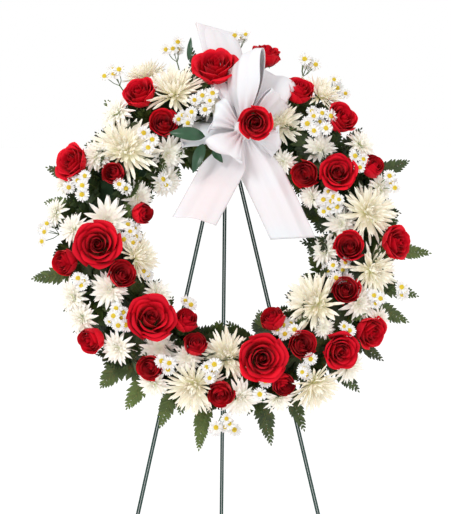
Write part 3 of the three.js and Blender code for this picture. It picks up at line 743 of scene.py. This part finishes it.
# Bow loops: [clock angle, length, depth, tilt towards the viewer and spin about the loop's own
# line in degrees, skew of the fold].
BOW_LOOPS = [
    (347, 198, 18, -14, 22, 0.36), (2, 126, 30, 12, -40, -0.45), (33, 118, 24, -8, 0, 0.1),
    (50, 88, 22, 12, 60, 0), (113, 66, 12, 10, 58, 0), (218, 70, 24, 30, 0, 0),
    (272, 108, 14, -16, 40, 0), (296, 60, 22, 14, 0, 0.23),
]
# Bow tails: [clock angle, length, tilt, curl towards the viewer at the end, skew of the cut end].
BOW_TAILS = [(208, 173, 2, 14, -0.3), (155, 198, -4, -10, 0.4)]
TAIL_SAG = 14


def satin():
    made, tree, shader = material(
        "satin_ribbon", 0.38, Sheen_Weight=0.1, Sheen_Roughness=0.35, Sheen_Tint=(1.0, 0.97, 0.98, 1),
        Subsurface_Weight=0.06, Subsurface_Scale=0.003,
    )
    tint = ramp(tree, noise(tree, 7, 2), [(0.35, (0.8, 0.71, 0.72)), (0.65, (0.76, 0.79, 0.82))])
    tree.links.new(tint, shader.inputs["Base Color"])
    bump(tree, shader, noise(tree, 2200, 2), 0.12, 0.0002)
    return made


SATIN = satin()


def from_knot(points, clock, tilt, spin):
    """Points as along, across and out of the bow, in the panel's frame."""
    along = unit(clock_direction(clock) + TO_VIEWER * math.tan(math.radians(tilt)))
    across = unit(np.cross(TO_VIEWER, along))
    out = np.cross(along, across)
    c, s = math.cos(math.radians(spin)), math.sin(math.radians(spin))
    axes = np.stack([along, c * across + s * out, c * out - s * across])
    return KNOT + points @ axes


def ribbon_points(path, skew, rng):
    """A strip of ribbon along a path in the along and out directions, gathered near the knot."""
    u = np.linspace(-1, 1, 29)
    heading = np.gradient(path, axis=0)
    heading /= np.linalg.norm(heading, axis=1, keepdims=True)
    normal = np.stack([-heading[:, 1], heading[:, 0]], axis=-1)
    opened = smoothstep(4 * MM, 72 * MM, path[:, :1])
    half = 0.5 * RIBBON_WIDTH * (PINCHED + (1 - PINCHED) * opened)
    gathers = (3.6 * (1 - opened) ** 1.3 + 0.7 * opened) * MM
    pleat = gathers * np.cos(3.3 * math.pi * u + rng.uniform(0, 6))
    billow = 4.5 * MM * opened * np.sin(2.1 * u + rng.uniform(0, 6) + 14 * path[:, :1])
    crease = CREASE * MM * opened * np.abs(u - rng.uniform(-0.6, 0.6))
    lift = pleat + billow - crease
    across = half * u
    x = path[:, :1] + lift * normal[:, :1] + skew * across * opened
    z = path[:, 1:] + lift * normal[:, 1:]
    return np.stack([x, across, z], axis=-1)


def ribbon_piece(name, points):
    soup = Soup()
    soup.grid(points)
    piece = soup.piece(name, [SATIN], "satin_ribbon")
    thick = piece.modifiers.new("thickness", "SOLIDIFY")
    thick.thickness = 0.5 * MM
    thick.offset = 0
    return piece


def loop_path(length, depth):
    t = np.linspace(0, 1, 30)
    upper = np.array([[4, 0], [0.45 * length, 0.5 * depth], [length, 0.8 * depth], [length, 0]])
    lower = np.array([[length, 0], [length, -0.8 * depth], [0.45 * length, -0.5 * depth], [4, 0]])
    return np.concatenate([bezier(upper, t), bezier(lower, t)[1:]]) * MM


def tail_path(length, curl):
    t = np.linspace(0, 1, 44)
    drop = -TAIL_SAG * np.sin(math.pi * np.minimum(1, 1.6 * t)) * (1 - t) + curl * t**2
    return np.stack([length * t, drop], axis=-1) * MM


CENTRE = {"width": 30 * MM, "radius": 17 * MM, "flat": 42 * MM, "gathers": 1.6 * MM}


def centre_band():
    """The band of folded ribbon that goes once round the knot."""
    turn = np.linspace(0, 2 * math.pi, 40)[:, None]
    u = np.linspace(-1, 1, 25)[None, :]
    ripple = CENTRE["gathers"] * np.cos(3.5 * math.pi * u + 0.6 * np.sin(turn))
    radius = CENTRE["radius"] * (1 - 0.12 * u**2) + ripple
    x = 0.5 * CENTRE["width"] * u + 0 * turn
    points = np.stack([x, radius * np.cos(turn), 0.9 * radius * np.sin(turn)], axis=-1)
    return KNOT + points


def add_bow():
    rng = np.random.default_rng(1100)
    for k, (clock, length, depth, tilt, spin, skew) in enumerate(BOW_LOOPS):
        path = loop_path(length, depth)
        points = from_knot(ribbon_points(path, skew, rng), clock, tilt, spin)
        piece = ribbon_piece(f"bow_loop_{k + 1}", points)
        if k == 0:
            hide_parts("ribbon_bow")
    for k, (clock, length, tilt, curl, skew) in enumerate(BOW_TAILS):
        path = tail_path(length, curl)
        points = from_knot(ribbon_points(path, skew, rng), clock, tilt, 0)
        ribbon_piece(f"bow_tail_{k + 1}", points)
    ribbon_piece("bow_centre", centre_band())


# ---------------------------------------------------------------- easel, foam and tray
def paint(name, color, roughness, speckle=700):
    made, tree, shader = material(name, roughness)
    worn = ramp(tree, noise(tree, 40, 5), [(0.35, tuple(0.75 * c for c in color)), (0.65, color)])
    tree.links.new(worn, shader.inputs["Base Color"])
    bump(tree, shader, noise(tree, speckle, 3), 0.2, 0.0003)
    return made


def repaint():
    easel = paint("easel_paint", (0.006, 0.045, 0.033), 0.6)
    tray = paint("tray_plastic", (0.02, 0.07, 0.03), 0.45)
    foam = paint("wet_foam", (0.02, 0.06, 0.02), 0.9, speckle=1600)
    tie = paint("tie_wire", (0.03, 0.08, 0.04), 0.4)
    looks = {
        "front_leg_left": easel, "front_leg_right": easel, "rear_leg": easel, "hook_plate": easel,
        "prong_wire": easel, "hinge_pin": easel, "ring_tray": tray, "bow_pick": tray,
        "foam_ring": foam, "tie_wire": tie,
    }
    for name, look in looks.items():
        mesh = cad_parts[name].data
        mesh.materials.clear()
        mesh.materials.append(look)


# ---------------------------------------------------------------- floor, lights and camera
def light(name, place, target, size, power):
    lamp = bpy.data.lights.new(name, "AREA")
    lamp.size = size
    lamp.energy = power
    holder = bpy.data.objects.new(name, lamp)
    holder.location = place
    holder.rotation_euler = (Vector(target) - Vector(place)).to_track_quat("-Z", "Y").to_euler()
    bpy.context.scene.collection.objects.link(holder)


def add_stage():
    scene = bpy.context.scene
    bpy.ops.mesh.primitive_plane_add(size=80, location=(0, 0, -0.001))
    floor = bpy.context.object
    floor.name = "floor"
    made, tree, shader = material("floor", 0.9)
    shader.inputs["Base Color"].default_value = (0.8, 0.8, 0.8, 1)
    shader.inputs["Emission Color"].default_value = (1, 1, 1, 1)
    shader.inputs["Emission Strength"].default_value = 0.35
    floor.data.materials.append(made)

    world = bpy.data.worlds.new("world")
    world.use_nodes = True
    tree = world.node_tree
    background = tree.nodes["Background"]
    background.inputs["Color"].default_value = (1, 1, 1, 1)
    seen = add(tree, "ShaderNodeLightPath").outputs["Is Camera Ray"]
    strength = add(tree, "ShaderNodeMapRange")
    strength.inputs["To Min"].default_value = 0.9
    strength.inputs["To Max"].default_value = 1.0
    tree.links.new(seen, strength.inputs["Value"])
    tree.links.new(strength.outputs["Result"], background.inputs["Strength"])
    scene.world = world
    scene.view_settings.view_transform = "Standard"

    wreath = Vector(PANEL_ORIGIN)
    light("key", wreath + Vector((-1.5, -2.0, 1.6)), wreath, 0.8, 26)
    light("fill", wreath + Vector((2.0, -1.8, 0.4)), wreath, 1.6, 5)


CAMERA_DISTANCE = 3.2
CAMERA_TARGET = np.array([-4, -33, 85]) * MM  # in the panel's frame
CAMERA_ELEVATION = math.radians(5)
CAMERA_AZIMUTH = math.radians(-1.9)
VIEW_HEIGHT = 0.848  # what the frame's height takes in at the target
SENSOR_HEIGHT = 24


def add_camera():
    lens = bpy.data.cameras.new("camera")
    camera = bpy.data.objects.new("camera", lens)
    bpy.context.scene.collection.objects.link(camera)
    bpy.context.scene.camera = camera
    target = Vector(to_world(CAMERA_TARGET))
    level = Vector((math.sin(CAMERA_AZIMUTH), -math.cos(CAMERA_AZIMUTH), 0))
    back = level * math.cos(CAMERA_ELEVATION) + Vector((0, 0, math.sin(CAMERA_ELEVATION)))
    camera.location = target + CAMERA_DISTANCE * back
    camera.rotation_euler = (target - camera.location).to_track_quat("-Z", "Y").to_euler()
    lens.sensor_fit = "VERTICAL"
    lens.sensor_height = SENSOR_HEIGHT
    lens.lens = SENSOR_HEIGHT * CAMERA_DISTANCE / VIEW_HEIGHT
    lens.clip_end = 60


add_camera()
repaint()
names = sorted(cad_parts)
for index, name in enumerate(n for n in names if n.startswith("rose_")):
    add_rose(index, name)
for index, name in enumerate(n for n in names if n.startswith("spider_mum_")):
    add_spider(index, name)
add_back_spiders()
add_mums()
add_asters()
add_ferns()
add_filler()
add_ruscus()
add_bow()
add_stage()
